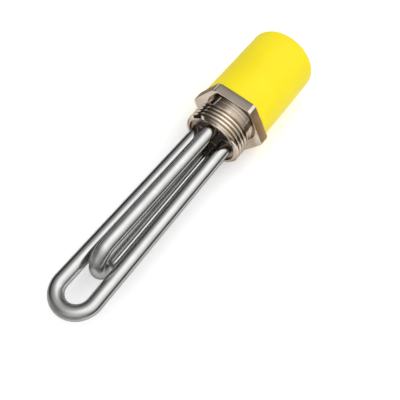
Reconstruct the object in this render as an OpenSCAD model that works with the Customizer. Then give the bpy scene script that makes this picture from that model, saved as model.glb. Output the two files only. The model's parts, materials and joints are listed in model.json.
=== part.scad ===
// Screw plug immersion heater: a hexagon plug with a pipe thread carries two crossed U hairpins,
// one nested in the other, and a push-on cap covers the terminals.
// Row frame: X runs along the plug's axis, from the hairpins (-X) to the cap (+X), with the origin in
// the seat, the hexagon's face towards the tank. Two of the hexagon's flats face +Z and -Z.
// Each piece is drawn with the axis along Z first, so heights are distances from the seat.

/* [Plug] */
// Major diameter of the pipe thread
thread_d = 33.25; // [33:0.05:48]
// Seat to the inner end of the plug
thread_l = 14.8; // [13:0.1:30]
// Diameter of the relief between seat and thread
relief_d = 30; // [29.6:0.1:31]
// Width of the relief
relief_w = 4.4; // [2:0.1:6]
// Slope of the thread's end towards the relief
relief_slope = 60; // [45:5:75]
// Chamfer on the thread's first turn
thread_chamfer = 1.3; // [0.5:0.1:2]
// Depth of the recess in the inner end
recess_depth = 2; // [1:0.1:4]
// Width of the rim round the recess
rim_w = 1.1; // [0.6:0.1:1.8]
// Hexagon across flats
hex_af = 39; // [38.5:0.5:60]
// Thickness of the hexagon
hex_h = 5.7; // [4:0.1:14]
// Depth by which the hexagon's corners are turned off
corner_cut = 0.5; // [0.1:0.05:1]
// Chamfer at the hexagon's corners
hex_chamfer = 0.2; // [0.1:0.1:1.5]
// Height of the round spigot that carries the cap
spigot_h = 5; // [3:0.5:10]
// Chamfer on the spigot
spigot_chamfer = 0.7; // [0.2:0.1:1.5]

/* [Hairpins] */
// Diameter of the element tube
tube_d = 8; // [7.5:0.1:8.6]
// Wall of the element tube
tube_wall = 0.7; // [0.4:0.05:1]
// Diameter of the circle that the four legs stand on
leg_pcd = 17.2; // [16.4:0.1:18.4]
// Angle of the long hairpin's plane from the horizontal
clocking = -8; // [-45:1:45]
// Seat to the tip of the long hairpin
long_reach = 133.5; // [125:0.5:600]
// Seat to the tip of the short hairpin
short_reach = 109; // [85:0.5:110]
// Centre-line radius of the hairpins' U bends
bend_r = 10.35; // [9.2:0.05:11]
// Centre-line radius of the slight set where a leg leaves the plug
set_r = 60; // [30:5:100]
// Height of the tube mouths above the spigot
mouth_h = 2.5; // [1:0.1:5]
// Width of the brazed fillet round a tube
braze_w = 0.5; // [0.2:0.05:0.6]
// Width of the fillet at its tip
braze_tip_w = 0.1; // [0.05:0.01:0.15]
// Height of the brazed fillet along a tube
braze_h = 0.9; // [0.4:0.1:1.5]

/* [Inside the hairpins] */
// Diameter of the cold pin in a tube
pin_d = 3; // [2:0.1:3.5]
// Length of the cold pin past the plug
cold_l = 20; // [15:1:40]
// Length of the cold pin that the coil grips
grip_l = 8; // [4:0.5:12]
// Outside diameter of the resistance coil
coil_d = 4.6; // [4.5:0.1:5]
// Radial thickness of the coil's turns
coil_wall = 0.6; // [0.4:0.05:0.7]
// Length of the seal in a tube mouth
seal_l = 3; // [2:0.5:6]

/* [Terminals] */
// Diameter of the terminal studs and of the earth screw
stud_d = 4; // [3:0.5:4.5]
// Length of stud past the top nut
stud_end = 2.8; // [1:0.1:6]
// Chamfer on the stud's tip
stud_chamfer = 0.5; // [0.2:0.1:0.8]
// Diameter of the insulator's head
insulator_d = 7.8; // [7.5:0.1:8.6]
// Height of the insulator's head
insulator_h = 4; // [2:0.5:10]
// Length of the insulator in the tube
insulator_spigot = 3; // [2:0.5:6]
// Chamfer on the insulator's head
insulator_chamfer = 0.6; // [0.2:0.1:1]
// Nuts, across flats
nut_af = 7; // [6.5:0.1:8]
// Height of the nuts
nut_h = 3.2; // [2:0.1:4]
// Chamfer at the nuts' corners
nut_chamfer = 0.35; // [0.1:0.05:0.6]
// Depth by which the nuts' corners are turned off
nut_corner_cut = 0.15; // [0.05:0.05:0.3]
// Width of the link bars
link_w = 8; // [7:0.5:9]
// Thickness of the link bars
link_t = 1; // [0.5:0.1:2]
// Outside diameter of the plain washers
washer_d = 9; // [7:0.1:10]
// Thickness of the plain washers
washer_t = 0.8; // [0.5:0.1:1.5]
// Outside diameter of the spring washers
spring_d = 7.6; // [7:0.1:9]
// Thickness of the spring washers
spring_t = 1; // [0.6:0.1:1.5]
// Width of the gap in a spring washer
spring_gap = 0.8; // [0.4:0.1:1.5]
// Diameter of the earth screw's head
earth_head_d = 7; // [6.5:0.1:7.6]
// Height of the earth screw's head
earth_head_h = 2.6; // [2:0.1:3.5]
// Chamfer on the earth screw's head
earth_head_chamfer = 0.6; // [0.3:0.1:1]
// Length of the earth screw under its head
earth_l = 8; // [6:0.5:12]
// Depth of the earth screw's hole past its end
earth_hole_end = 1; // [0.5:0.1:2]
// Width of the slot in the earth screw
earth_slot_w = 1; // [0.6:0.1:1.4]
// Depth of the slot in the earth screw
earth_slot_depth = 1.2; // [0.6:0.1:1.5]
// Diameter of the earth screw's washer
earth_washer_d = 8; // [7:0.1:8.2]
// Thickness of the earth screw's washer
earth_washer_t = 0.8; // [0.5:0.1:1.2]

/* [Cap] */
// Outside diameter of the cap at its mouth
cap_d = 39.5; // [38.5:0.5:60]
// Length of the cap
cap_l = 50.5; // [45:0.5:90]
// Wall of the cap
cap_wall = 1.8; // [1.2:0.1:2.2]
// Draft of the cap: how much its radius narrows towards the closed end
cap_draft = 0.3; // [0.1:0.05:1]
// Radius round the cap's closed end
cap_fillet = 5; // [3:0.5:8]
// Chamfer inside the cap's mouth
cap_lead_in = 0.5; // [0.2:0.1:0.8]

/* [Fits] */
// Radial play of the cap on its spigot
cap_play = 0.1; // [0.05:0.05:0.2]
// Radial play between pieces that are packed, brazed or screwed together
snug = 0.05; // [0.04:0.01:0.1]
// Radial play of washers and bars on a stud
stud_play = 0.15; // [0.1:0.05:0.3]

/* [Hidden] */
$fn = 96;
eps = 0.01;
// A straight runs this far into the bend that follows it, and the bend is this much thicker
lap = 8 * snug;
swell = 0.6 * snug;
// Slope of the chamfer on a hexagon's corners
hex_slope = 30;

tube_r = tube_d / 2;
bore_r = tube_r - tube_wall;
fill_r = bore_r - snug;
stud_r = stud_d / 2;
pin_r = pin_d / 2;
coil_r = coil_d / 2;
coil_bore_r = coil_r - coil_wall;
leg_r = leg_pcd / 2;
thread_r = thread_d / 2;
relief_r = relief_d / 2;
recess_r = thread_r - thread_chamfer - rim_w;
floor_z = recess_depth - thread_l;
spigot_d = cap_d - 2 * cap_wall - 2 * cap_play;

// Heights of the terminal stack above the seat, from the spigot's face outwards
deck_z = hex_h + spigot_h;
mouth_z = deck_z + mouth_h;
seal_z = mouth_z - insulator_spigot - seal_l;
base_nut_z = mouth_z + insulator_h;
link_z = base_nut_z + nut_h;
washer_z = link_z + link_t;
spring_z = washer_z + washer_t;
top_nut_z = spring_z + spring_t;
stud_tip_z = top_nut_z + nut_h + stud_end;

// Legs 1 and 3 belong to the long hairpin, legs 2 and 4 to the short one
LONG = 0;
SHORT = 1;
function leg_angle(leg) = clocking + 90 * leg;
function reach_of(leg) = leg % 2 == LONG ? long_reach : short_reach;

// A leg leaves the plug along its axis, is set outwards by a small angle and meets the U bend as a tangent
function bend_centre(reach) = reach - tube_r - bend_r;
function run_in(reach) = bend_centre(reach) - thread_l;
function splay(reach) =
    atan2(run_in(reach), leg_r + set_r)
    - acos((bend_r + set_r) / norm([leg_r + set_r, run_in(reach)]));
function straight_l(reach) =
    run_in(reach) * cos(splay(reach)) - (leg_r + set_r) * sin(splay(reach));

// Turns a piece from its drawing position, axis along Z, to the row frame, axis along X
module along_axis() {
    rotate([90, 0, 90])
        children();
}

// Puts children on the axis of a leg
module at_leg(leg) {
    rotate(leg_angle(leg))
        translate([leg_r, 0, 0])
            children();
}

module at_legs() {
    for (leg = [0:3])
        at_leg(leg)
            children();
}

module tube_ring(outer_d, inner_d, h) {
    difference() {
        cylinder(d = outer_d, h = h);
        translate([0, 0, -eps])
            cylinder(d = inner_d, h = h + 2 * eps);
    }
}

// Straight end of a leg, from its top height down to the plug's inner end
module leg_top(r, top) {
    at_leg(0)
        translate([0, 0, -thread_l - lap])
            cylinder(r = r, h = top + thread_l + lap);
}

// Slight set where the leg leaves the plug
module leg_set(r, angle) {
    rotate(leg_angle(0))
        translate([leg_r + set_r, 0, -thread_l])
            rotate([90, 0, 0])
                rotate(180)
                    rotate_extrude(angle = angle)
                        translate([set_r, 0])
                            circle(r = r + swell);
}

// Straight run of a leg between two distances from the set's end
module leg_run(r, angle, from, to) {
    rotate(leg_angle(0))
        translate([leg_r + set_r, 0, -thread_l])
            rotate([0, -angle, 0])
                translate([-set_r, 0, -to])
                    cylinder(r = r, h = to - from);
}

// U bend at the hairpin's tip
module leg_bend(r, reach) {
    angle = splay(reach);
    rotate(leg_angle(0))
        translate([0, 0, -bend_centre(reach)])
            rotate([90, 0, 0])
                rotate(180 - angle)
                    rotate_extrude(angle = 180 + 2 * angle)
                        translate([bend_r, 0])
                            circle(r = r + swell);
}

// One leg down to a distance along its straight run
module leg(r, reach, top, to) {
    leg_top(r, top);
    leg_set(r, splay(reach));
    leg_run(r, splay(reach), -lap, to);
}

module both_legs() {
    for (turn = [0, 180])
        rotate(turn)
            children();
}

// Rod along the whole hairpin
module hairpin(r, reach, top) {
    both_legs()
        leg(r, reach, top, straight_l(reach) + lap);
    leg_bend(r, reach);
}

// Rod along the hot length only
module hot_length(r, reach, from) {
    both_legs()
        leg_run(r, splay(reach), from, straight_l(reach) + lap);
    leg_bend(r, reach);
}

// Turns a hairpin drawn on leg 0 to its own plane
module in_plane(which) {
    rotate(90 * which)
        children();
}

module sheath(which) {
    reach = reach_of(which);
    color("silver")
        along_axis()
            in_plane(which)
                difference() {
                    hairpin(tube_r, reach, mouth_z);
                    hairpin(bore_r, reach, mouth_z + eps);
                }
}

module magnesia(which) {
    reach = reach_of(which);
    color("ivory")
        along_axis()
            in_plane(which) {
                difference() {
                    hairpin(fill_r, reach, seal_z);
                    both_legs()
                        leg(pin_r + snug, reach, seal_z + eps, cold_l);
                    hot_length(coil_r + snug, reach, cold_l - grip_l - snug);
                }
                hot_length(coil_bore_r - snug, reach, cold_l + snug);
            }
}

module coil(which) {
    reach = reach_of(which);
    color("dimgray")
        along_axis()
            in_plane(which)
                difference() {
                    hot_length(coil_r, reach, cold_l - grip_l);
                    hot_length(coil_bore_r, reach, cold_l - grip_l - eps);
                }
}

// Cold pin: thick stud outside, thin pin in the fill, its inner end gripped by the coil
module terminal_pin(leg_no) {
    reach = reach_of(leg_no);
    color("gainsboro")
        along_axis()
            rotate(90 * leg_no) {
                leg(pin_r, reach, seal_z + lap, cold_l);
                at_leg(0) {
                    translate([0, 0, seal_z])
                        cylinder(r = stud_r, h = stud_tip_z - stud_chamfer - seal_z);
                    translate([0, 0, stud_tip_z - stud_chamfer])
                        cylinder(r1 = stud_r, r2 = stud_r - stud_chamfer, h = stud_chamfer);
                }
            }
}

module end_seal(leg_no) {
    color("firebrick")
        along_axis()
            at_leg(leg_no)
                translate([0, 0, seal_z])
                    tube_ring(2 * fill_r, stud_d + 2 * snug, seal_l);
}

module insulator(leg_no) {
    head_r = insulator_d / 2;
    bore = stud_r + stud_play;
    top = insulator_spigot + insulator_h;
    color("white")
        along_axis()
            at_leg(leg_no)
                translate([0, 0, mouth_z - insulator_spigot])
                    rotate_extrude()
                        polygon([
                            [bore, 0], [fill_r, 0], [fill_r, insulator_spigot],
                            [head_r, insulator_spigot], [head_r, top - insulator_chamfer],
                            [head_r - insulator_chamfer, top], [bore, top]
                        ]);
}

// Fillet of brazing metal round each tube, on the floor of the plug's recess
module braze_rings() {
    inner_r = tube_r + snug;
    color("khaki")
        along_axis()
            at_legs()
                translate([0, 0, floor_z])
                    rotate_extrude()
                        polygon([
                            [inner_r, 0], [inner_r, -braze_h],
                            [inner_r + braze_tip_w, -braze_h], [inner_r + braze_w, 0]
                        ]);
}

// Hexagon whose corners are turned down to a circle and chamfered at both ends
module turned_hexagon(af, h, cut, chamfer) {
    corner_r = af / 2 / cos(30);
    turned_r = corner_r - cut;
    face_r = turned_r - chamfer / tan(hex_slope);
    intersection() {
        cylinder(r = corner_r, h = h, $fn = 6);
        rotate_extrude()
            polygon([
                [0, 0], [face_r, 0], [turned_r, chamfer],
                [turned_r, h - chamfer], [face_r, h], [0, h]
            ]);
    }
}

module hex_nut() {
    difference() {
        turned_hexagon(nut_af, nut_h, nut_corner_cut, nut_chamfer);
        translate([0, 0, -eps])
            cylinder(r = stud_r + snug, h = nut_h + 2 * eps);
    }
}

module base_nuts() {
    color("gold")
        along_axis()
            at_legs()
                translate([0, 0, base_nut_z])
                    hex_nut();
}

module top_nuts() {
    color("gold")
        along_axis()
            at_legs()
                translate([0, 0, top_nut_z])
                    hex_nut();
}

module plain_washers() {
    color("goldenrod")
        along_axis()
            at_legs()
                translate([0, 0, washer_z])
                    tube_ring(washer_d, stud_d + 2 * stud_play, washer_t);
}

module spring_washers() {
    color("slategray")
        along_axis()
            at_legs()
                translate([0, 0, spring_z])
                    difference() {
                        tube_ring(spring_d, stud_d + 2 * stud_play, spring_t);
                        translate([0, -spring_gap / 2, -eps])
                            cube([spring_d, spring_gap, spring_t + 2 * eps]);
                    }
}

// Strap between two neighbouring studs, a quarter turn apart
module link_bar(first_leg) {
    span = leg_r * sqrt(2);
    turn_to_next = 90 + 45;
    color("goldenrod")
        along_axis()
            at_leg(first_leg)
                rotate(turn_to_next)
                    translate([0, 0, link_z])
                        difference() {
                            union() {
                                translate([0, -link_w / 2, 0])
                                    cube([span, link_w, link_t]);
                                for (x = [0, span])
                                    translate([x, 0, 0])
                                        cylinder(d = link_w, h = link_t);
                            }
                            for (x = [0, span])
                                translate([x, 0, -eps])
                                    cylinder(r = stud_r + stud_play, h = link_t + 2 * eps);
                        }
}

module earth_washer() {
    color("silver")
        along_axis()
            translate([0, 0, deck_z])
                tube_ring(earth_washer_d, stud_d + 2 * stud_play, earth_washer_t);
}

module earth_screw() {
    head_z = deck_z + earth_washer_t;
    head_r = earth_head_d / 2;
    color("silver")
        along_axis()
            translate([0, 0, head_z])
                difference() {
                    union() {
                        translate([0, 0, -earth_l])
                            cylinder(r = stud_r, h = earth_l + eps);
                        cylinder(r = head_r, h = earth_head_h - earth_head_chamfer);
                        translate([0, 0, earth_head_h - earth_head_chamfer])
                            cylinder(r1 = head_r, r2 = head_r - earth_head_chamfer, h = earth_head_chamfer);
                    }
                    translate([-head_r - eps, -earth_slot_w / 2, earth_head_h - earth_slot_depth])
                        cube([earth_head_d + 2 * eps, earth_slot_w, earth_slot_depth + eps]);
                }
}

// Relief and thread, the thread as a cylinder of its major diameter
module shank() {
    slope_l = (thread_r - relief_r) / tan(relief_slope);
    rotate_extrude()
        polygon([
            [0, -thread_l], [thread_r - thread_chamfer, -thread_l],
            [thread_r, thread_chamfer - thread_l], [thread_r, -relief_w],
            [relief_r, slope_l - relief_w], [relief_r, eps], [0, eps]
        ]);
}

// Hexagon, shank and spigot, bored for the four legs and drilled for the earth screw
module screw_plug() {
    spigot_r = spigot_d / 2;
    earth_depth = earth_l - earth_washer_t + earth_hole_end;
    color("tan")
        along_axis()
            difference() {
                union() {
                    turned_hexagon(hex_af, hex_h, corner_cut, hex_chamfer);
                    shank();
                    translate([0, 0, hex_h - eps])
                        cylinder(r = spigot_r, h = spigot_h - spigot_chamfer + eps);
                    translate([0, 0, deck_z - spigot_chamfer])
                        cylinder(r1 = spigot_r, r2 = spigot_r - spigot_chamfer, h = spigot_chamfer);
                }
                translate([0, 0, -thread_l - eps])
                    cylinder(r = recess_r, h = recess_depth + eps);
                at_legs()
                    translate([0, 0, floor_z - eps])
                        cylinder(r = tube_r + snug, h = deck_z - floor_z + 2 * eps);
                translate([0, 0, deck_z - earth_depth])
                    cylinder(r = stud_r + snug, h = earth_depth + eps);
            }
}

// Moulded cup: straight bore on the spigot, then a drafted wall and a rounded closed end
module cap() {
    mouth_r = cap_d / 2;
    end_r = mouth_r - cap_draft;
    inner_r = mouth_r - cap_wall;
    inner_end_r = end_r - cap_wall;
    inner_fillet = max(cap_fillet - cap_wall, cap_wall / 2);
    inner_l = cap_l - cap_wall;
    color("gold")
        along_axis()
            translate([0, 0, hex_h])
                rotate_extrude()
                    difference() {
                        cup_outline(mouth_r, end_r, cap_l, cap_fillet, 0);
                        translate([0, -eps])
                            cup_outline(inner_r, inner_end_r, inner_l + eps, inner_fillet, spigot_h);
                        polygon([
                            [inner_r - eps, -eps], [inner_r + cap_lead_in + eps, -eps],
                            [inner_r - eps, cap_lead_in + eps]
                        ]);
                    }
}

// Half section of a cup: straight to a height, drafted to the closed end, with a round corner there
module cup_outline(mouth_r, end_r, length, fillet, straight_to) {
    polygon([
        [0, 0], [mouth_r, 0], [mouth_r, straight_to], [end_r, length - fillet],
        [end_r - fillet, length], [0, length]
    ]);
    translate([end_r - fillet, length - fillet])
        circle(r = fillet);
}

screw_plug();
sheath(LONG);  // long_sheath
sheath(SHORT);  // short_sheath
magnesia(LONG);  // long_magnesia
magnesia(SHORT);  // short_magnesia
coil(LONG);  // long_coil
coil(SHORT);  // short_coil
terminal_pin(0);  // terminal_pin_1
terminal_pin(1);  // terminal_pin_2
terminal_pin(2);  // terminal_pin_3
terminal_pin(3);  // terminal_pin_4
end_seal(0);  // end_seal_1
end_seal(1);  // end_seal_2
end_seal(2);  // end_seal_3
end_seal(3);  // end_seal_4
insulator(0);  // insulator_1
insulator(1);  // insulator_2
insulator(2);  // insulator_3
insulator(3);  // insulator_4
braze_rings();
base_nuts();
link_bar(0);  // link_bar_1
link_bar(2);  // link_bar_2
plain_washers();
spring_washers();
top_nuts();
earth_screw();
earth_washer();
cap();
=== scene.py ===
"""Looks of the screw plug immersion heater: polished hairpins, turned and threaded plug, moulded cap.

Row frame, in metres: X along the plug's axis, hairpins towards -X, cap towards +X, origin in the seat.
"""
import json
from math import acos, atan2, cos, hypot, pi, radians, sin, sqrt, tan

import bmesh
import bpy
from mathutils import Matrix, Vector


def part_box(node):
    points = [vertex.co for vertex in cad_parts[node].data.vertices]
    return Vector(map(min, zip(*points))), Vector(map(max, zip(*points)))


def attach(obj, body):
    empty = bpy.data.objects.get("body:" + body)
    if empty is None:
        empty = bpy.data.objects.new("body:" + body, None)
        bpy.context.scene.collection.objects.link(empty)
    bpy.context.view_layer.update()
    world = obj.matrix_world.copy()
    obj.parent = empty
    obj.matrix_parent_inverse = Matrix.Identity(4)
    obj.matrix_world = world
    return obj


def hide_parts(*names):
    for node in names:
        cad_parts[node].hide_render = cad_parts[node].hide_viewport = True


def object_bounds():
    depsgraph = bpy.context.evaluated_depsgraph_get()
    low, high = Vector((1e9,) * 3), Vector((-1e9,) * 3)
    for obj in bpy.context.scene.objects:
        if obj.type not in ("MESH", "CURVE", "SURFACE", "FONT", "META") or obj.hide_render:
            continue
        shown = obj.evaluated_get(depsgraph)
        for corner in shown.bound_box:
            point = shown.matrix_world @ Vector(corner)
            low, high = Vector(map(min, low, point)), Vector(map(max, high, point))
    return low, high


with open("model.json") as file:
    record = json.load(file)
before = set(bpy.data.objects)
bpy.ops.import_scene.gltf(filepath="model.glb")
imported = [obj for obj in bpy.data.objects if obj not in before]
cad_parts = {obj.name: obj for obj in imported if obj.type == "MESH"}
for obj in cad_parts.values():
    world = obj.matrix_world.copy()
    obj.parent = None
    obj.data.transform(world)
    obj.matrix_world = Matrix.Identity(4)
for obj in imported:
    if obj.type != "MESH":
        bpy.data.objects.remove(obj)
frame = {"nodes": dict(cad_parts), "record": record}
cad_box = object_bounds()

MM = 0.001
SEGMENTS = 192
BORE_SEGMENTS = 96
RING_SEGMENTS = 64
HOLE_SEGMENTS = 48
THREAD_STEPS = 4
FINE_STEPS = 12
SHARP = radians(32)
EDGE_MIDDLE = 0.3
PAST = 1 * MM
NOISE_LOW, NOISE_HIGH = 0.3, 0.7
mounts = {m["name"]: m for m in frame["record"]["mounts"]}

# Plug, from its node and its thread mount
plug_lo, plug_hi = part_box("screw_plug")
cap_lo, cap_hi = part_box("cap")
INNER_END = plug_lo.x
DECK = plug_hi.x
HEX_AF = plug_hi.z - plug_lo.z
HEX_SIDE = HEX_AF / sqrt(3)
HEX_H = cap_lo.x
THREAD_R = mounts["thread"]["dims"]["r_mm"] * MM
THREAD_LENGTH = mounts["thread"]["dims"]["length_mm"] * MM
THREAD_FROM = mounts["thread"]["pos_m"][0] - THREAD_LENGTH / 2
THREAD_TO = mounts["thread"]["pos_m"][0] + THREAD_LENGTH / 2
PITCH = 25.4 / 11 * MM
FLANK = radians(27.5)
CREST_W = 0.3 * PITCH
CREST_ROUND = 0.05 * PITCH
ROOT_ROUND = 0.11 * PITCH
TURNS_BEFORE_END = 2.75
SPARE_TURNS = 5
BLANK_OVER = 0.3 * MM
# Depth below the blank over which the thread is painted darker as painted shade
ROOT_SHADE_DEPTH = 1 * MM
# Width over which the painted shade of the recess gives way to bare plate
SHADE_EDGE_W = 1.5 * MM
# Fade of the painted brown reflection on the hexagon's -Y side
REFLECTION_FADE = 0.12 * HEX_SIDE
RELIEF_R = 15 * MM
RELIEF_SLOPE = radians(60)
RELIEF_FILLET = 0.4 * MM
RIM_W = 1.1 * MM
RECESS_DEPTH = 2 * MM
RECESS_FILLET = 0.3 * MM
CORNER_CUT = 0.5 * MM
HEX_CHAMFER = 0.2 * MM
SPIGOT_CHAMFER = 0.7 * MM
EDGE = 0.18 * MM
SNUG = 0.05 * MM

# Cap
CAP_WALL = 1.8 * MM
CAP_DRAFT = 0.3 * MM
CAP_FILLET = 5 * MM
CAP_PLAY = 0.1 * MM
CAP_LIP = 0.45 * MM

# Terminals
STUD_R = 2 * MM
STUD_PITCH = 0.7 * MM
STUD_CHAMFER = 0.5 * MM
STUD_PLAY = 0.15 * MM
STUD_DEPTH = 0.61 * STUD_PITCH
STUD_SEGMENTS = 40
ROWS_PER_PITCH = 8
PIN_R = 1.5 * MM
PIN_SIDES = 24
COLD_LENGTH = 20 * MM
HEAD_ROUND = 0.6 * MM
NUT_AF = 7 * MM
NUT_CUT = 0.15 * MM
NUT_CHAMFER = 0.35 * MM
WASHER_R = 4.5 * MM
SPRING_R = 3.8 * MM
SPRING_GAP = 0.8 * MM
SPRING_SLANT = 0.5
SPRING_STEPS = 56
LINK_R = 4 * MM
LINK_STEPS = 24
BRAZE_W = 0.5 * MM
BRAZE_EDGE = 0.04 * MM
BRAZE_GAP = 0.01 * MM
BRAZE_STEPS = 8
EARTH_WASHER_R = 4 * MM
EARTH_SLOT_W = 1 * MM
EARTH_SLOT_DEPTH = 1.2 * MM
EARTH_HOLE_END = 1 * MM
EARTH_FROM, EARTH_TO = (corner.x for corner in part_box("earth_screw"))
SOFT = 0.12 * MM

# Hairpins
TUBE_R = 4 * MM
TUBE_WALL = 0.7 * MM
BEND_R = 10.35 * MM
SET_R = 60 * MM
TUBE_SIDES = 72
BEND_STEPS = 40
SET_STEPS = 5


def leg_centre(leg):
    lo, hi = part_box(f"insulator_{leg}")
    return Vector((0, (lo.y + hi.y) / 2, (lo.z + hi.z) / 2))


LEGS = [leg_centre(leg) for leg in (1, 2, 3, 4)]
LEG_R = LEGS[0].length
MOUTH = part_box("long_sheath")[1].x


# Node trees

def add_node(tree, kind, inputs=None, **settings):
    made = tree.nodes.new("ShaderNode" + kind)
    for key, value in settings.items():
        setattr(made, key, value)
    for key, value in (inputs or {}).items():
        if isinstance(value, bpy.types.NodeSocket):
            tree.links.new(value, made.inputs[key])
        else:
            made.inputs[key].default_value = value
    return made


def noise(tree, vector, scale, detail=4.0, roughness=0.55):
    made = add_node(tree, "TexNoise", {"Vector": vector, "Scale": scale, "Detail": detail,
                                       "Roughness": roughness})
    return made.outputs["Fac"]


def stretch(tree, vector, scale):
    return add_node(tree, "Mapping", {"Vector": vector, "Scale": scale}).outputs["Vector"]


def ramp(tree, fac, *stops):
    """Colour ramp through (place, grey or colour) stops"""
    made = add_node(tree, "ValToRGB", {"Fac": fac})
    elements = made.color_ramp.elements
    while len(elements) < len(stops):
        elements.new(1)
    for element, (place, value) in zip(elements, stops):
        element.position = place
        element.color = (*value, 1) if isinstance(value, tuple) else (value, value, value, 1)
    return made.outputs["Color"]


def map_range(tree, value, start, end, low=0.0, high=1.0):
    """Value carried from start..end to low..high, and held at both"""
    made = add_node(tree, "MapRange", {"Value": value, "From Min": start, "From Max": end,
                                       "To Min": low, "To Max": high})
    return made.outputs["Result"]


def span(tree, fac, low, high):
    """Noise carried to low..high"""
    return map_range(tree, fac, NOISE_LOW, NOISE_HIGH, low, high)


def maths(tree, operation, *values):
    return add_node(tree, "Math", dict(enumerate(values)), operation=operation).outputs[0]


def mix(tree, fac, first, second, blend="MIX"):
    made = add_node(tree, "MixRGB", {"Fac": fac, "Color1": first, "Color2": second}, blend_type=blend)
    return made.outputs["Color"]


def split(tree, vector):
    """The X, Y and Z of a vector"""
    return add_node(tree, "SeparateXYZ", {"Vector": vector}).outputs


def bump(tree, height, strength, distance):
    made = add_node(tree, "Bump", {"Height": height, "Strength": strength, "Distance": distance})
    return made.outputs["Normal"]


def new_material(name, metallic=0.0, specular_tint=None, **constants):
    """Material, its tree and its shader, with the values that are the same all over"""
    made = bpy.data.materials.new(name)
    made.use_nodes = True
    tree = made.node_tree
    shader = tree.nodes["Principled BSDF"]
    shader.inputs["Metallic"].default_value = metallic
    if specular_tint:
        shader.inputs["Specular Tint"].default_value = (*specular_tint, 1)
    for key, value in constants.items():
        shader.inputs[key.replace("_", " ")].default_value = value
    return made, tree, shader


def dress(tree, shader, colour, roughness, normal=None):
    tree.links.new(colour, shader.inputs["Base Color"])
    tree.links.new(roughness, shader.inputs["Roughness"])
    if normal:
        tree.links.new(normal, shader.inputs["Normal"])


def object_place(tree):
    return add_node(tree, "TexCoord").outputs["Object"]


def turned_place(tree):
    """Place along the plug's axis and distance from it, so that marks run round as from a lathe"""
    parts = split(tree, object_place(tree))
    across = add_node(tree, "CombineXYZ", {"Y": parts["Y"], "Z": parts["Z"]})
    radius = add_node(tree, "VectorMath", {0: across.outputs["Vector"]}, operation="LENGTH")
    made = add_node(tree, "CombineXYZ", {"X": parts["X"], "Y": radius.outputs["Value"]})
    return made.outputs["Vector"]


# Materials

def polished_steel():
    """Drawn and polished tube: fine marks along the tube, a faint cloudiness, satin where it was bent"""
    made, tree, shader = new_material("polished_steel", 1.0, (0.22, 0.22, 0.225))
    coords = add_node(tree, "TexCoord").outputs
    marks = noise(tree, stretch(tree, coords["UV"], (260, 40, 1)), 1.0, 3.0)
    cloud = noise(tree, coords["Object"], 140.0, 3.0)
    colour = ramp(tree, cloud, (0.3, (0.43, 0.43, 0.425)), (0.7, (0.485, 0.485, 0.48)))
    lean = maths(tree, "ABSOLUTE", split(tree, coords["Normal"])["X"])
    satin = map_range(tree, lean, 0.1, 0.55, 0.0, 0.2)
    rough = maths(tree, "ADD", span(tree, marks, 0.08, 0.16), satin)
    dress(tree, shader, colour, rough, bump(tree, marks, 0.03, 0.02 * MM))
    return made


def turned_nickel():
    """Turned nickel plate over brass: rings from the tool, warm stains, painted shade in the thread roots,
    and a painted highlight on the relief
    """
    made, tree, shader = new_material("turned_nickel", 1.0, (0.3, 0.2, 0.14))
    place = turned_place(tree)
    rings = noise(tree, stretch(tree, place, (9000, 9000, 1)), 1.0, 2.0)
    stain = noise(tree, object_place(tree), 90.0, 4.0)
    colour = ramp(tree, stain, (0.34, (0.51, 0.42, 0.33)), (0.56, (0.66, 0.59, 0.51)))
    parts = split(tree, place)
    x, radius = parts["X"], parts["Y"]
    # Painted shade: the thread is multiplied darker the deeper it lies below the blank, darkest in the roots
    blank = maths(tree, "MINIMUM", maths(tree, "ADD", x, THREAD_R - THREAD_FROM), THREAD_R)
    depth = map_range(tree, maths(tree, "SUBTRACT", blank, radius), 0.0, ROOT_SHADE_DEPTH)
    root_shade = ramp(tree, depth, (0.1, 1.0), (0.45, (0.76, 0.75, 0.71)), (1.0, (0.52, 0.51, 0.46)))
    middle = (THREAD_FROM + THREAD_TO) / 2
    on_thread = maths(tree, "COMPARE", x, middle, middle - INNER_END - EDGE)
    colour = mix(tree, on_thread, colour, root_shade, "MULTIPLY")
    # Painted highlight: the relief between the thread and the seat is mixed towards near white
    relief_highlight_span = maths(tree, "COMPARE", x, THREAD_TO / 2, -THREAD_TO / 2)
    low = maths(tree, "LESS_THAN", radius, RELIEF_R + EDGE)
    colour = mix(tree, maths(tree, "MULTIPLY", relief_highlight_span, low), colour, (0.93, 0.93, 0.93, 1))
    dress(tree, shader, colour, span(tree, rings, 0.05, 0.13), bump(tree, rings, 0.1, 0.01 * MM))
    return made


def drawn_nickel():
    """The same plate on the hexagon's drawn flats, painted darker as painted shade: marks along the bar, and
    a painted brown reflection on the -Y side
    """
    made, tree, shader = new_material("drawn_nickel", 1.0, (0.62, 0.5, 0.42))
    place = object_place(tree)
    marks = noise(tree, stretch(tree, place, (120, 4000, 4000)), 1.0, 3.0)
    stain = noise(tree, place, 110.0, 4.0)
    # Painted shade: the flats' plate colour is set far darker than the turned plate's
    colour = ramp(tree, stain, (0.32, (0.24, 0.2, 0.16)), (0.65, (0.3, 0.265, 0.225)))
    # Painted reflection: the flats on the -Y side turn brown past the corner
    warm = ramp(tree, stain, (0.32, (0.48, 0.32, 0.18)), (0.65, (0.56, 0.4, 0.25)))
    reflected_side = map_range(tree, split(tree, place)["Y"], -HEX_SIDE / 2, -HEX_SIDE / 2 - REFLECTION_FADE)
    colour = mix(tree, reflected_side, colour, warm)
    dress(tree, shader, colour, span(tree, marks, 0.34, 0.46), bump(tree, marks, 0.08, 0.01 * MM))
    return made


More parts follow.
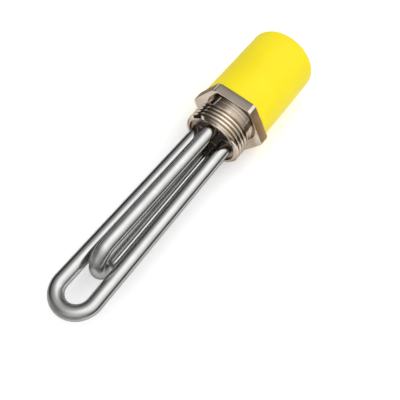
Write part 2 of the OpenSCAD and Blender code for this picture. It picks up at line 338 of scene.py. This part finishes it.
def recess_scale_and_shade():
    """Recess floor: near-black round the tubes, painted shade together with brazing scale and flux stains;
    bare plate by the wall
    """
    made, tree, shader = new_material("recess_scale_and_shade", 0.8)
    place = object_place(tree)
    scale = noise(tree, place, 420.0, 5.0, 0.65)
    # Painted shade with brazing scale: near-black to brown round the tubes
    scale_and_shade = ramp(tree, scale, (0.3, (0.035, 0.028, 0.026)), (0.6, (0.1, 0.082, 0.07)),
                 (0.75, (0.22, 0.18, 0.14)))
    radius = split(tree, turned_place(tree))["Y"]
    tube_edge = LEG_R + TUBE_R
    bare = map_range(tree, radius, tube_edge - SHADE_EDGE_W, tube_edge)
    colour = mix(tree, bare, scale_and_shade, (0.6, 0.5, 0.41, 1))
    dress(tree, shader, colour, span(tree, scale, 0.4, 0.65), bump(tree, scale, 0.25, 0.05 * MM))
    return made


def moulded_yellow():
    """Satin moulded plastic: faint flow clouds, fine grain"""
    made, tree, shader = new_material("moulded_yellow", Specular_IOR_Level=0.24)
    place = object_place(tree)
    cloud = noise(tree, place, 45.0, 3.0)
    grain = noise(tree, place, 2600.0, 2.0)
    colour = ramp(tree, cloud, (0.3, (0.885, 0.715, 0.009)), (0.7, (0.935, 0.77, 0.013)))
    dress(tree, shader, colour, span(tree, cloud, 0.42, 0.5), bump(tree, grain, 0.1, 0.03 * MM))
    return made


def metal(name, dark, light, rough, tint=None):
    """Machined metal with cloudy colour and fine marks"""
    made, tree, shader = new_material(name, 1.0, tint)
    place = object_place(tree)
    marks = noise(tree, place, 1500.0, 3.0)
    cloud = noise(tree, place, 260.0, 4.0)
    dress(tree, shader, ramp(tree, cloud, (0.32, dark), (0.68, light)), span(tree, marks, *rough),
          bump(tree, marks, 0.08, 0.02 * MM))
    return made


def dull(name, dark, light, rough, grain, **constants):
    """Ceramic, rubber or powder: speckled colour and a matt grain"""
    made, tree, shader = new_material(name, **constants)
    place = object_place(tree)
    specks = noise(tree, place, grain, 5.0, 0.65)
    dress(tree, shader, ramp(tree, specks, (0.35, dark), (0.65, light)), span(tree, specks, *rough),
          bump(tree, specks, 0.2, 0.04 * MM))
    return made


STEEL = polished_steel()
TURNED = turned_nickel()
DRAWN = drawn_nickel()
RECESS_SHADE = recess_scale_and_shade()
YELLOW = moulded_yellow()
MATERIALS = {
    "magnesia": dull("magnesia", (0.74, 0.71, 0.64), (0.9, 0.88, 0.82), (0.75, 0.9), 1800.0),
    "coil": metal("coil_wire", (0.24, 0.23, 0.22), (0.4, 0.38, 0.36), (0.4, 0.55)),
    "pin": metal("bright_steel", (0.52, 0.52, 0.51), (0.64, 0.64, 0.63), (0.2, 0.34)),
    "seal": dull("silicone", (0.42, 0.07, 0.045), (0.56, 0.12, 0.075), (0.45, 0.6), 900.0),
    "ceramic": dull("ceramic", (0.78, 0.75, 0.68), (0.9, 0.88, 0.83), (0.4, 0.55), 1400.0),
    "braze": metal("braze", (0.16, 0.13, 0.1), (0.34, 0.3, 0.22), (0.35, 0.5)),
    "terminal_brass": metal("terminal_brass", (0.62, 0.44, 0.17), (0.82, 0.63, 0.3), (0.2, 0.34)),
    "zinc_steel": metal("zinc_steel", (0.56, 0.57, 0.58), (0.72, 0.73, 0.75), (0.26, 0.4)),
}


# Mesh helpers

def rounded(points, steps=5):
    """Outline through (x, r, corner radius) points with round corners"""
    out = []
    count = len(points)
    for i, (x, r, radius) in enumerate(points):
        if not radius:
            out.append((x, r))
            continue
        here = Vector((x, r))
        back = (Vector(points[i - 1][:2]) - here).normalized()
        ahead = (Vector(points[(i + 1) % count][:2]) - here).normalized()
        half = back.angle(ahead) / 2
        centre = here + (back + ahead).normalized() * radius / sin(half)
        first = here + back * radius / tan(half) - centre
        last = here + ahead * radius / tan(half) - centre
        sweep = first.angle_signed(last)
        for step in range(steps + 1):
            turn = -sweep * step / steps
            spoke = Vector((first.x * cos(turn) - first.y * sin(turn),
                            first.x * sin(turn) + first.y * cos(turn)))
            out.append(tuple(centre + spoke))
    return out


def ring_points(x, r, segments, centre):
    turns = (2 * pi * k / segments for k in range(segments))
    return [(x, centre[1] + r * cos(a), centre[2] + r * sin(a)) for a in turns]


def join_rings(faces, first, second):
    """Quads or triangles between two rings of vertex numbers; a ring of one is a pole"""
    count = max(len(first), len(second))
    for k in range(count):
        n = (k + 1) % count
        if len(first) == 1:
            faces.append((first[0], second[n], second[k]))
        elif len(second) == 1:
            faces.append((first[k], first[n], second[0]))
        else:
            faces.append((first[k], first[n], second[n], second[k]))


def skin(count, size, closed=False):
    """Faces over rings of vertices in order: the ends are capped, or the last ring is joined to the first"""
    rings = [range(k * size, (k + 1) * size) for k in range(count)]
    faces = [] if closed else [rings[0], rings[-1]]
    for first, second in zip(rings, rings[1:] + rings[:1] if closed else rings[1:]):
        join_rings(faces, first, second)
    return faces


def lathe(profile, segments=SEGMENTS, centre=(0, 0, 0), closed=False):
    """Body of revolution about an axis along X from (x, r) points; r of 0 is a pole"""
    verts, rings, faces = [], [], []
    for x, r in profile:
        points = ring_points(x, r, segments, centre) if r else [(x, centre[1], centre[2])]
        rings.append(range(len(verts), len(verts) + len(points)))
        verts.extend(points)
    pairs = list(zip(rings, rings[1:]))
    if closed:
        pairs.append((rings[-1], rings[0]))
    for first, second in pairs:
        join_rings(faces, first, second)
    return verts, faces


def rod(start, end, r):
    """Profile of a plain round rod"""
    return [(start, 0), (start, r), (end, r), (end, 0)]


def make_mesh(name, verts, faces, weld=1e-8):
    """Object with a welded mesh and outward normals"""
    mesh = bpy.data.meshes.new(name)
    mesh.from_pydata([tuple(v) for v in verts], [], faces)
    bm = bmesh.new()
    bm.from_mesh(mesh)
    bmesh.ops.remove_doubles(bm, verts=bm.verts, dist=weld)
    bmesh.ops.dissolve_degenerate(bm, edges=bm.edges, dist=weld)
    bmesh.ops.recalc_face_normals(bm, faces=bm.faces)
    bm.to_mesh(mesh)
    bm.free()
    made = bpy.data.objects.new(name, mesh)
    bpy.context.scene.collection.objects.link(made)
    return made


def combine(base, tool, operation):
    """Boolean of two objects; the tool is used up"""
    cut = base.modifiers.new("cut", "BOOLEAN")
    cut.operation = operation
    cut.object = tool
    cut.solver = "EXACT"
    bpy.context.view_layer.update()
    graph = bpy.context.evaluated_depsgraph_get()
    mesh = bpy.data.meshes.new_from_object(base.evaluated_get(graph))
    base.modifiers.clear()
    base.data = mesh
    bpy.data.objects.remove(tool)
    return base


def finish_piece(piece, node_name, slot, body, *materials):
    """Smooth shading with sharp edges, materials, body and the node that the piece stands for; slot is not
    used
    """
    mesh = piece.data
    mesh.shade_smooth()
    mesh.set_sharp_from_angle(angle=SHARP)
    mesh.materials.clear()
    for made in materials:
        mesh.materials.append(made)
    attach(piece, body)
    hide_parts(node_name)
    return piece


# Plug

def pipe_thread_turn():
    """(share of a turn along the axis, radius) through one flat crest and one round root of the thread"""
    half = CREST_W / 2
    root_r = THREAD_R - (PITCH / 2 - half) / tan(FLANK)
    corners = [(-PITCH / 2, root_r, 0), (-half, THREAD_R, CREST_ROUND), (half, THREAD_R, CREST_ROUND),
               (PITCH / 2, root_r, ROOT_ROUND), (PITCH - half, THREAD_R, 0)]
    return [(x / PITCH, r) for x, r in rounded(corners, THREAD_STEPS)[1:-1]]


def threaded_rod(name, turn, pitch, start, turns, segments=SEGMENTS):
    """Closed right-handed screw whose rows of vertices follow the thread"""
    rows = [(start + (k + share) * pitch, r) for k in range(turns) for share, r in turn]
    verts = []
    for x, r in rows:
        for j in range(segments):
            a = 2 * pi * j / segments
            verts.append((x + pitch * j / segments, r * cos(a), r * sin(a)))
    step = len(turn)

    def at(row, column):
        return (row + step) * segments if column == segments else row * segments + column

    last = len(rows) - 1 - step
    faces = [(at(i, j), at(i, j + 1), at(i + 1, j + 1), at(i + 1, j))
             for i in range(last) for j in range(segments)]
    low, high = len(verts), len(verts) + 1
    verts += [(start - pitch, 0, 0), (rows[-1][0] + 2 * pitch, 0, 0)]
    for row, pole in ((0, low), (last, high)):
        rim = [at(row, j) for j in range(segments + 1)] + [at(row + k, 0) for k in range(step - 1, 0, -1)]
        faces += [(pole, a, b) for a, b in zip(rim, rim[1:] + rim[:1])]
    return make_mesh(name, verts, faces)


def hexagon_columns(af, cut, chamfer):
    """(angle, radius) of the columns round a turned hexagon, and the radius of its end faces"""
    corner_r = af / sqrt(3)
    side_r = corner_r - cut
    face_r = side_r - chamfer * sqrt(3)
    turn_at = acos(af / 2 / side_r)
    chamfer_at = acos(min(1, af / 2 / face_r))
    quarter = [0, chamfer_at / 2, chamfer_at] if chamfer_at else [0]
    quarter += [chamfer_at + (turn_at - chamfer_at) * k / 5 for k in range(1, 6)]
    quarter += [turn_at + (pi / 6 - turn_at) * k / 3 for k in range(1, 3)] + [pi / 6]
    flat = [-a for a in reversed(quarter[1:-1])] + quarter
    columns = []
    for side in range(6):
        for a in flat:
            columns.append((side * pi / 3 + pi / 2 + a, min(af / 2 / cos(a), side_r)))
    return columns, face_r


def hexagon(af, start, height, cut, chamfer, edge, bore=None):
    """Hexagon with turned corners, 30 degree chamfers and softened edges; flats face +Z and -Z"""
    columns, face_r = hexagon_columns(af, cut, chamfer)
    part, run = EDGE_MIDDLE * edge, 0.4 * edge
    verts, faces = [], []
    for a, r in columns:
        rise = max(0, (r - face_r) / sqrt(3))
        lip = min(r, face_r)
        end = [(0, lip - edge), (part, lip - part), (edge, lip)]
        if rise > 0:
            end = [(0, lip - edge), (part, lip), (rise + run, r)]
        outline = end + [(height - x, rr) for x, rr in reversed(end)]
        if bore:
            sink = 2 * edge
            outline = [(sink, bore), (0, bore + sink), *outline,
                       (height, bore + sink), (height - sink, bore)]
        rows = len(outline)
        verts += [(start + x, rr * cos(a), rr * sin(a)) for x, rr in outline]
    count = len(columns)
    for c in range(count):
        n = (c + 1) % count
        for i in range(rows - 1):
            faces.append((c * rows + i, n * rows + i, n * rows + i + 1, c * rows + i + 1))
        if bore:
            faces.append((c * rows + rows - 1, n * rows + rows - 1, n * rows, c * rows))
    if not bore:
        faces.append([c * rows for c in range(count)])
        faces.append([c * rows + rows - 1 for c in range(count)])
    return verts, faces


def screw_plug():
    """Threaded shank cut to its blank, with hexagon and spigot, bored for the tubes and the earth screw"""
    floor = INNER_END + RECESS_DEPTH
    chamfer = THREAD_FROM - INNER_END
    recess_r = THREAD_R - chamfer - RIM_W
    relief_from = THREAD_TO + (THREAD_R - RELIEF_R) / tan(RELIEF_SLOPE)
    blank = rounded([
        (floor, 0, 0), (floor, recess_r, RECESS_FILLET), (INNER_END, recess_r, EDGE),
        (INNER_END, THREAD_R - chamfer, EDGE), (THREAD_FROM + BLANK_OVER, THREAD_R + BLANK_OVER, 0),
        (THREAD_TO - BLANK_OVER, THREAD_R + BLANK_OVER, 0), (relief_from, RELIEF_R, RELIEF_FILLET),
        (PAST, RELIEF_R, 0), (PAST, 0, 0),
    ])
    turns = int((PAST - INNER_END) / PITCH) + SPARE_TURNS
    start = INNER_END - TURNS_BEFORE_END * PITCH
    shank = threaded_rod("screw_plug_body", pipe_thread_turn(), PITCH, start, turns)
    combine(shank, make_mesh("blank", *lathe(blank)), "INTERSECT")

    combine(shank, make_mesh("head", *hexagon(HEX_AF, 0, HEX_H, CORNER_CUT, HEX_CHAMFER, EDGE)), "UNION")

    spigot_r = cap_hi.z - CAP_WALL - CAP_PLAY
    spigot = [(HEX_H - PAST, 0), (HEX_H - PAST, spigot_r), (DECK - SPIGOT_CHAMFER, spigot_r),
              (DECK, spigot_r - SPIGOT_CHAMFER), (DECK, 0)]
    combine(shank, make_mesh("spigot", *lathe(spigot)), "UNION")

    for leg in LEGS:
        bore = rod(INNER_END, DECK + PAST, TUBE_R + SNUG)
        combine(shank, make_mesh("bore", *lathe(bore, BORE_SEGMENTS, leg)), "DIFFERENCE")
    hole = rod(EARTH_FROM - EARTH_HOLE_END, DECK + PAST, STUD_R + SNUG)
    combine(shank, make_mesh("earth_hole", *lathe(hole, HOLE_SEGMENTS)), "DIFFERENCE")

    finish_piece(shank, "screw_plug", "plug", "heater", TURNED, DRAWN, RECESS_SHADE)
    drawn_slot, recess_shade_slot = 1, 2
    level, square, near_flat = 0.01 * MM, 0.9999, 0.49 * HEX_AF
    flats = [Vector((0, sin(k * pi / 3), cos(k * pi / 3))) for k in range(6)]
    # Flats take the drawn plate with painted shade and a painted reflection
    for face in shank.data.polygons:
        centre = face.center
        if any(face.normal.dot(flat) > square and centre.dot(flat) > near_flat for flat in flats):
            face.material_index = drawn_slot
        # The recess floor takes the material with painted shade
        if face.normal.x < -0.9 and floor - level < centre.x < floor + level:
            face.material_index = recess_shade_slot
    return shank


# Hairpins

def half_hairpin(reach, top):
    """(x, distance from the axis, slope) along one leg, from its top to the middle of the U bend"""
    bend_x = TUBE_R + BEND_R - reach
    run = INNER_END - bend_x
    splay = atan2(run, LEG_R + SET_R) - acos((BEND_R + SET_R) / hypot(LEG_R + SET_R, run))
    path = [(top, LEG_R, 0.0)]
    for k in range(SET_STEPS + 1):
        a = splay * k / SET_STEPS
        path.append((INNER_END - SET_R * sin(a), LEG_R + SET_R * (1 - cos(a)), a))
    for k in range(BEND_STEPS + 1):
        a = -splay + (pi / 2 + splay) * k / BEND_STEPS
        path.append((bend_x - BEND_R * sin(a), BEND_R * cos(a), -a))
    return path


def hairpin_path(leg, reach, top):
    """(place, heading) along the whole hairpin, and the normal of its plane"""
    out = leg.normalized()
    along = Vector((1, 0, 0))
    half = half_hairpin(reach, top)
    first = [(x * along + w * out, -cos(a) * along + sin(a) * out) for x, w, a in half]
    second = [(x * along - w * out, cos(a) * along + sin(a) * out) for x, w, a in reversed(half[:-1])]
    return first + second, along.cross(out)


def sweep(path, normal, r, sides):
    """Points of the rings round a flat path, and each point's share of a turn and length along the path"""
    verts, marks = [], []
    length = 0.0
    for k, (place, heading) in enumerate(path):
        length += (place - path[max(k - 1, 0)][0]).length
        side = normal.cross(heading)
        for j in range(sides):
            a = 2 * pi * j / sides
            verts.append(place + r * (cos(a) * side + sin(a) * normal))
            marks.append((j / sides, length))
    return verts, marks


def tube(name, path, normal, outer_r, inner_r, sides=TUBE_SIDES):
    """Pipe along a flat path, with its mouths closed by rings, and UVs round and along it"""
    outer, marks = sweep(path, normal, outer_r, sides)
    inner, _ = sweep(list(reversed(path)), -normal, inner_r, sides)
    made = make_mesh(name, outer + inner, skin(2 * len(path), sides, closed=True), 0)
    marks = marks + marks
    layer = made.data.uv_layers.new(name="along")
    for face in made.data.polygons:
        wraps = max(marks[v][0] for v in face.vertices) - min(marks[v][0] for v in face.vertices) > 0.5
        for loop_index in face.loop_indices:
            u, v = marks[made.data.loops[loop_index].vertex_index]
            layer.data[loop_index].uv = (u + 1 if wraps and u < 0.5 else u, v)
    return made


def sheath(node_name, leg):
    reach = -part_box(node_name)[0].x
    path, normal = hairpin_path(leg, reach, MOUTH)
    made = tube(node_name + "_tube", path, normal, TUBE_R, TUBE_R - TUBE_WALL)
    return finish_piece(made, node_name, "sheath", "heater", STEEL)


# Terminals

def spread(shape, legs=LEGS):
    """Copies of a shape drawn on the plug's axis, one on the axis of each leg and turned with it"""
    verts, faces = [], []
    for leg in legs:
        turn = atan2(leg.z, leg.y)
        first = len(verts)
        for x, y, z in shape[0]:
            verts.append((x, leg.y + y * cos(turn) - z * sin(turn), leg.z + y * sin(turn) + z * cos(turn)))
        faces += [[first + k for k in face] for face in shape[1]]
    return verts, faces


def joined(*shapes):
    verts, faces = [], []
    for more_verts, more_faces in shapes:
        faces += [[len(verts) + k for k in face] for face in more_faces]
        verts += more_verts
    return verts, faces


def ring_section(start, end, outer_r):
    """Section of a flat ring that fits round a stud, with softened edges"""
    inner_r = STUD_R + STUD_PLAY
    corners = ((start, inner_r), (start, outer_r), (end, outer_r), (end, inner_r))
    return rounded([(x, r, SOFT) for x, r in corners], 3)


def screw_rod(start, end):
    """Right-handed screw of the studs' size with chamfered ends"""
    flank_gain, crest_share = 1.3, 0.15
    segments = STUD_SEGMENTS
    rows = round((end - start) / STUD_PITCH * ROWS_PER_PITCH)
    verts, faces = [], []
    for i in range(rows + 1):
        x = start + (end - start) * i / rows
        blank_r = STUD_R - STUD_CHAMFER + min(x - start, end - x, STUD_CHAMFER)
        for j in range(segments):
            phase = ((x - start) / STUD_PITCH - j / segments) % 1
            sunk = min(max(flank_gain * (1 - abs(2 * phase - 1)) - crest_share, 0), 1)
            a = 2 * pi * j / segments
            r = min(STUD_R - STUD_DEPTH * sunk, blank_r)
            verts.append((x, r * cos(a), r * sin(a)))
    rings = [range(i * segments, (i + 1) * segments) for i in range(rows + 1)]
    rings = [[len(verts)], *rings, [len(verts) + 1]]
    verts += [(start, 0, 0), (end, 0, 0)]
    for first, second in zip(rings, rings[1:]):
        join_rings(faces, first, second)
    return verts, faces


def terminal_pin(number, reach):
    """Threaded stud outside the tube, and the cold pin that runs from it down the leg"""
    node_name = f"terminal_pin_{number}"
    leg = LEGS[number - 1]
    stud_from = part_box(f"end_seal_{number}")[0].x
    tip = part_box(node_name)[1].x
    stud = spread(screw_rod(stud_from, tip), [leg])
    path, normal = hairpin_path(leg, reach, stud_from + STUD_CHAMFER)
    cold = path[:SET_STEPS + 2]
    place, heading = cold[-1]
    cold.append((place + COLD_LENGTH * heading, heading))
    verts, _ = sweep(cold, normal, PIN_R, PIN_SIDES)
    made = make_mesh(f"stud_{number}", *joined(stud, (verts, skin(len(cold), PIN_SIDES))))
    return finish_piece(made, node_name, "pin", "heater", MATERIALS["pin"])


def insulator(number):
    """Ceramic bush with a shoulder on the tube's mouth"""
    node_name = f"insulator_{number}"
    lo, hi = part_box(node_name)
    bore_r, spigot_r, head_r = STUD_R + STUD_PLAY, TUBE_R - TUBE_WALL - SNUG, (hi.y - lo.y) / 2
    outline = rounded([
        (lo.x, bore_r, SOFT), (lo.x, spigot_r, SOFT), (MOUTH, spigot_r, 0), (MOUTH, head_r, SOFT),
        (hi.x, head_r, HEAD_ROUND), (hi.x, bore_r, 2 * SOFT),
    ])
    bush = lathe(outline, RING_SEGMENTS, closed=True)
    made = make_mesh(f"bush_{number}", *spread(bush, [LEGS[number - 1]]))
    return finish_piece(made, node_name, "ceramic", "heater", MATERIALS["ceramic"])


def nuts(node_name):
    lo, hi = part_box(node_name)
    nut = hexagon(NUT_AF, lo.x, hi.x - lo.x, NUT_CUT, NUT_CHAMFER, SOFT, STUD_R + SNUG)
    made = make_mesh(node_name + "_turned", *spread(nut))
    return finish_piece(made, node_name, "terminal_brass", "heater", MATERIALS["terminal_brass"])


def washers(node_name, slot, outer_r, legs):
    lo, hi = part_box(node_name)
    shape = lathe(ring_section(lo.x, hi.x, outer_r), RING_SEGMENTS, closed=True)
    made = make_mesh(node_name + "_stamped", *(spread(shape, legs) if legs else shape))
    return finish_piece(made, node_name, slot, "heater", MATERIALS[slot])


def spring_washers():
    """Split rings whose ends are cut on the slant"""
    lo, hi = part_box("spring_washers")
    section = ring_section(lo.x, hi.x, SPRING_R)
    verts = []
    for k in range(SPRING_STEPS + 1):
        share = k / SPRING_STEPS
        for x, r in section:
            slant = (x - (lo.x + hi.x) / 2) * SPRING_SLANT
            a = (slant + SPRING_GAP * (0.5 - share)) / SPRING_R + 2 * pi * share
            verts.append((x, r * cos(a), r * sin(a)))
    faces = skin(SPRING_STEPS + 1, len(section))
    made = make_mesh("spring_washers_split", *spread((verts, faces)))
    return finish_piece(made, "spring_washers", "zinc_steel", "heater", MATERIALS["zinc_steel"])


def stadium(length, r, x):
    """Outline of a strap with round ends, from the plug's axis along Y"""
    turns = [pi / 2 + pi * k / LINK_STEPS for k in range(LINK_STEPS + 1)]
    left = [(x, r * cos(a), r * sin(a)) for a in turns]
    return left + [(x, length - y, -z) for _, y, z in left]


def link_bar(node_name, first_leg, second_leg):
    """Strap with round ends and a hole at each of two studs"""
    lo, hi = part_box(node_name)
    strap = second_leg - first_leg
    part = EDGE_MIDDLE * SOFT
    rows = [(lo.x, SOFT), (lo.x + part, part), (lo.x + SOFT, 0)]
    rows += [(lo.x + hi.x - x, inset) for x, inset in reversed(rows)]
    verts = []
    for x, inset in rows:
        verts += stadium(strap.length, LINK_R - inset, x)
    made = make_mesh(node_name + "_strap", verts, skin(len(rows), len(verts) // len(rows)))
    hole = rod(lo.x - PAST, hi.x + PAST, STUD_R + STUD_PLAY)
    for y in (0, strap.length):
        combine(made, make_mesh("hole", *lathe(hole, RING_SEGMENTS, (0, y, 0))), "DIFFERENCE")
    turn = Matrix.Rotation(atan2(strap.z, strap.y), 4, "X")
    made.data.transform(Matrix.Translation(first_leg) @ turn)
    return finish_piece(made, node_name, "terminal_brass", "heater", MATERIALS["terminal_brass"])


def earth_screw():
    """Cheese head screw with a slot"""
    head_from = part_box("earth_washer")[1].x
    head_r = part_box("earth_screw")[1].y
    outline = [(head_from, 0, 0), (head_from, head_r, SOFT), (EARTH_TO, head_r, HEAD_ROUND), (EARTH_TO, 0, 0)]
    made = make_mesh("earth_screw_turned", *lathe(rounded(outline), RING_SEGMENTS))
    thread = screw_rod(EARTH_FROM, head_from + STUD_CHAMFER + SOFT)
    combine(made, make_mesh("earth_thread", *thread), "UNION")
    half, bottom = EARTH_SLOT_W / 2, EARTH_TO - EARTH_SLOT_DEPTH
    corners = [(bottom, -half), (bottom, half), (EARTH_TO + PAST, half), (EARTH_TO + PAST, -half)]
    verts = [(x, y, z) for y in (-2 * head_r, 2 * head_r) for x, z in corners]
    faces = [(0, 1, 2, 3), (7, 6, 5, 4)] + [(k, (k + 1) % 4, (k + 1) % 4 + 4, k + 4) for k in range(4)]
    combine(made, make_mesh("slot", verts, faces), "DIFFERENCE")
    return finish_piece(made, "earth_screw", "zinc_steel", "heater", MATERIALS["zinc_steel"])


def braze_rings():
    """Hollow fillets that rise up the tubes from the recess floor, a little uneven"""
    lo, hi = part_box("braze_rings")
    inner_r, height = TUBE_R + BRAZE_GAP, hi.x - lo.x
    wall_top = lo.x + 0.2 * height
    verts = []
    for k in range(BRAZE_STEPS + 1):
        a = pi / 2 * k / BRAZE_STEPS
        for j in range(RING_SEGMENTS):
            turn = 2 * pi * j / RING_SEGMENTS
            uneven = 0.9 + 0.06 * sin(3 * turn + 1) + 0.04 * sin(7 * turn)
            r = inner_r + BRAZE_W * uneven * (1 - cos(a)) + BRAZE_EDGE
            verts.append((hi.x - height * uneven * (1 - sin(a)), r * cos(turn), r * sin(turn)))
    for x in (hi.x, wall_top):
        verts += ring_points(x, inner_r, RING_SEGMENTS, (0, 0, 0))
    faces = skin(len(verts) // RING_SEGMENTS, RING_SEGMENTS, closed=True)
    made = make_mesh("braze_fillets", *spread((verts, faces)))
    return finish_piece(made, "braze_rings", "braze", "heater", MATERIALS["braze"])


# Cap

def cap():
    """Tapered shell with a round end, bored straight where it sits on the spigot"""
    mouth_r = cap_hi.z
    end_r = mouth_r - CAP_DRAFT
    bore_r = mouth_r - CAP_WALL
    inner_end = cap_hi.x - CAP_WALL
    profile = rounded([
        (cap_hi.x, 0, 0), (cap_hi.x, end_r, CAP_FILLET), (HEX_H, mouth_r, CAP_LIP),
        (HEX_H, bore_r, CAP_LIP), (DECK, bore_r, 0), (inner_end, end_r - CAP_WALL, CAP_FILLET - CAP_WALL),
        (inner_end, 0, 0),
    ], FINE_STEPS)
    made = make_mesh("cap_shell", *lathe(profile))
    return finish_piece(made, "cap", "cap", "push_cap", YELLOW)


screw_plug()
sheath("long_sheath", LEGS[0])
sheath("short_sheath", LEGS[1])
for number in (1, 2, 3, 4):
    terminal_pin(number, -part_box("long_sheath" if number % 2 else "short_sheath")[0].x)
    insulator(number)
nuts("base_nuts")
nuts("top_nuts")
washers("plain_washers", "terminal_brass", WASHER_R, LEGS)
washers("earth_washer", "zinc_steel", EARTH_WASHER_R, None)
spring_washers()
link_bar("link_bar_1", LEGS[0], LEGS[1])
link_bar("link_bar_2", LEGS[2], LEGS[3])
earth_screw()
braze_rings()
cap()

for part in frame["record"]["subparts"]:
    made = MATERIALS.get(part["material_slot"])
    if made:
        mesh = frame["nodes"][part["node"]].data
        mesh.materials.clear()
        mesh.materials.append(made)


# Studio

FLOOR_Z = cad_box[0][2] - 0.2 * MM
FLOOR_LIFT = 0.25
TENT_STRENGTH = 2.0
TENT_LEAN = radians(100)
FILL_AT = Vector((0.03, 0.7, 0.4))
FILL_SIZE = 0.6
FILL_POWER = 0.75
CAMERA_AT = Vector((-168.99, -86.32, 293.55)) * MM
CAMERA_TURN = (25.5331, -3.4094, -53.2101)
LENS = 58.5


def pale_floor():
    """Pale floor, curved up into a low wall, that keeps the shadow and reads white where no shadow falls"""
    reach, height = 2.6, 0.5
    verts, faces = lathe(rounded([(0, 0, 0), (0, reach, height / 2), (height, reach, 0)], FINE_STEPS))
    floor = make_mesh("floor", [(y, w, FLOOR_Z + up) for up, y, w in verts], faces)
    made, tree, shader = new_material("floor_paper", Roughness=1.0, Specular_IOR_Level=0.0)
    fibres = noise(tree, object_place(tree), 60.0, 3.0)
    paper = ramp(tree, fibres, (0.3, 0.86), (0.7, 0.88))
    tree.links.new(paper, shader.inputs["Base Color"])
    rays = add_node(tree, "LightPath").outputs
    seen = maths(tree, "ADD", rays["Is Camera Ray"], rays["Is Glossy Ray"])
    seen = maths(tree, "ADD", seen, rays["Is Transmission Ray"])
    shader.inputs["Emission Color"].default_value = (1, 1, 1, 1)
    tree.links.new(maths(tree, "MULTIPLY", seen, FLOOR_LIFT), shader.inputs["Emission Strength"])
    floor.data.materials.append(made)


def cards():
    """Cards round the set that show only in the metal's reflections: brown, black and grey at the horizon"""
    x_lo, x_bends, x_hi = -0.22, -0.17, 0.18
    reach, wide = 0.08, 0.128
    low, tall = 0.04, 0.145
    brown = (0.22, 0.18, 0.13), (0.27, 0.22, 0.165)
    felt = (0.025, 0.025, 0.025), (0.035, 0.035, 0.035)
    grey = (0.42, 0.42, 0.38), (0.48, 0.48, 0.43)
    for name, first, last, height, (dark, pale) in (
            ("card_near", (x_lo, -reach), (x_hi, -reach), low, brown),
            ("card_far", (x_hi, reach), (x_lo, reach), low, felt),
            ("card_cap", (x_hi, -wide), (x_hi, wide), tall, felt),
            ("card_bends", (x_bends, reach), (x_bends, -reach), low, grey)):
        top = FLOOR_Z + height
        corners = [(*first, FLOOR_Z), (*last, FLOOR_Z), (*last, top), (*first, top)]
        made = make_mesh(name, corners, [(0, 1, 2, 3)])
        board, tree, shader = new_material(name, Roughness=1.0, Specular_IOR_Level=0.0)
        cloth = noise(tree, object_place(tree), 300.0)
        tree.links.new(ramp(tree, cloth, (0.3, dark), (0.7, pale)), shader.inputs["Base Color"])
        made.data.materials.append(board)
        made.visible_camera = made.visible_diffuse = made.visible_shadow = False


def light_tent():
    """World that glows overhead and fades to the sides and the ends, as inside a tent of white cloth"""
    world = bpy.data.worlds.new("studio")
    bpy.context.scene.world = world
    world.use_nodes = True
    tree = world.node_tree
    way = split(tree, add_node(tree, "TexCoord").outputs["Generated"])
    lean = maths(tree, "ARCTAN2", way["Y"], way["Z"])
    across = map_range(tree, lean, TENT_LEAN, -TENT_LEAN)
    along = map_range(tree, way["X"], -1.0, 1.0)
    sides = ramp(tree, across, (0.03, 0.03), (0.2, 0.13), (0.34, 0.36), (0.46, 0.9), (0.52, 1.0),
                 (0.6, 1.0), (0.72, 0.78), (0.81, 0.53), (0.94, 0.06))
    ends = ramp(tree, along, (0.0, 0.7), (0.06, 0.5), (0.12, 0.4), (0.25, 0.6), (0.36, 0.88),
                (0.44, 1.0), (0.8, 1.0), (0.9, 0.4), (1.0, 0.2))
    glow = add_node(tree, "VectorMath", {0: sides, 1: ends}, operation="MULTIPLY")
    tree.links.new(glow.outputs["Vector"], tree.nodes["Background"].inputs["Color"])
    tree.nodes["Background"].inputs["Strength"].default_value = TENT_STRENGTH


def fill_light():
    """Weak broad lamp on the far side that lifts the cap there and shows in no reflection"""
    data = bpy.data.lights.new("fill", "AREA")
    data.size = FILL_SIZE
    data.energy = FILL_POWER
    made = bpy.data.objects.new("fill", data)
    bpy.context.scene.collection.objects.link(made)
    made.location = FILL_AT
    made.rotation_euler = FILL_AT.to_track_quat("Z", "Y").to_euler()
    made.visible_glossy = False


def camera():
    data = bpy.data.cameras.new("camera")
    data.lens = LENS
    data.clip_start = 10 * MM
    made = bpy.data.objects.new("camera", data)
    bpy.context.scene.collection.objects.link(made)
    made.location = CAMERA_AT
    made.rotation_euler = [radians(a) for a in CAMERA_TURN]
    bpy.context.scene.camera = made


pale_floor()
cards()
light_tent()
fill_light()
camera()
bpy.context.scene.view_settings.view_transform = "Standard"
